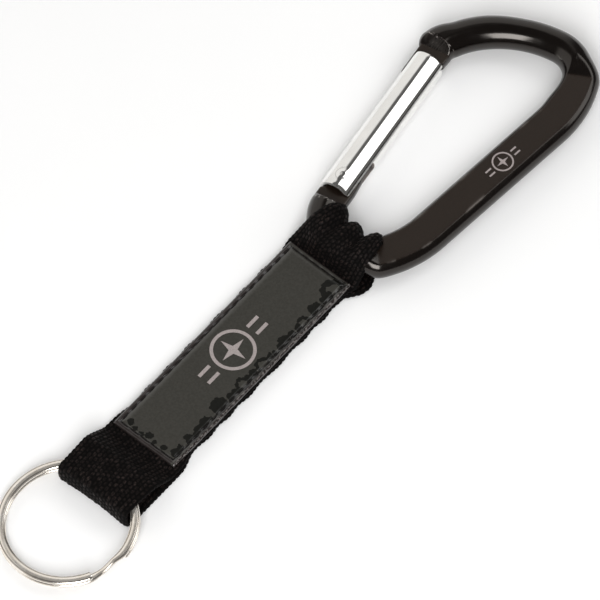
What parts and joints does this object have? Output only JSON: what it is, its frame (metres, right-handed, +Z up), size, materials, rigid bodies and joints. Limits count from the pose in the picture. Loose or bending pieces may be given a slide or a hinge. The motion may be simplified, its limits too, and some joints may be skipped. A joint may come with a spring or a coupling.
{
  "type": "carabiner keyring",
  "caption": "Snap-hook carabiner with a sprung tube gate, a folded webbing strap with a windowed label, and a split ring for keys.",
  "frame": {"origin": "centre of the flat-lying keyring, on the surface it rests on", "axes": "+X along the strap from the split ring to the hook's crown, +Y towards the gate's side of the hook, +Z up out of the label's face"},
  "size_m": [0.1827, 0.0406, 0.0101],
  "materials": {
    "hook_black": "glossy black-brown anodising",
    "gate_silver": "bright drawn aluminium",
    "spring_steel": "drawn wire",
    "webbing": "coarse black polyester weave",
    "label_card": "dark grey printed card",
    "label_vinyl": "clear glossy vinyl over the card",
    "thread": "black polyester thread",
    "ring_nickel": "nickel-plated steel"
  },
  "bodies": {
    "hook": {"carabiner_frame": "hook_black"},
    "gate": {"gate_tube": "gate_silver", "hinge_rivet": "gate_silver", "gate_spring": "spring_steel"},
    "plunger": {"spring_plunger": "spring_steel"},
    "strap": {"webbing_top_loop": "webbing", "webbing_front": "webbing", "webbing_back": "webbing", "label_insert": "label_card", "label_window": "label_vinyl", "label_stitching": "thread"},
    "tail": {"webbing_tail_loop": "webbing"},
    "ring": {"split_ring": "ring_nickel"}
  },
  "joints": [
    {"name": "gate_hinge", "type": "hinge", "parent": "hook", "child": "gate", "pos_m": [0.0294, 0.0104, 0.00505], "axis": [0, 0, -1], "range_deg": [0, 30], "stiffness_Nm_per_rad": 0.02, "springref_deg": -20.05},
    {"name": "plunger_slide", "type": "slide", "parent": "gate", "child": "plunger", "axis": [0.9903, 0.1392, 0], "range_m": [0, 0.0018], "deforming": ["gate_spring"]},
    {"name": "strap_swing", "type": "hinge", "parent": "hook", "child": "strap", "pos_m": [0.01657, 0.0014, 0.00505], "axis": [0, 1, 0], "range_deg": [-100, 100], "deforming": ["webbing_top_loop"]},
    {"name": "tail_flex", "type": "hinge", "parent": "strap", "child": "tail", "pos_m": [-0.0518, 0.0014, 0.0012], "axis": [0, 1, 0], "range_deg": [-60, 75], "deforming": ["webbing_tail_loop"]},
    {"name": "ring_turn", "type": "hinge", "parent": "tail", "child": "ring", "pos_m": [-0.0754, 0.0014, 0.00271], "axis": [-0.0609, 0.0785, 0.9951], "continuous": true}
  ],
  "couplings": [
    {"joint": "plunger_slide", "follows": "gate_hinge", "m_per_rad": 0.00315}
  ]
}
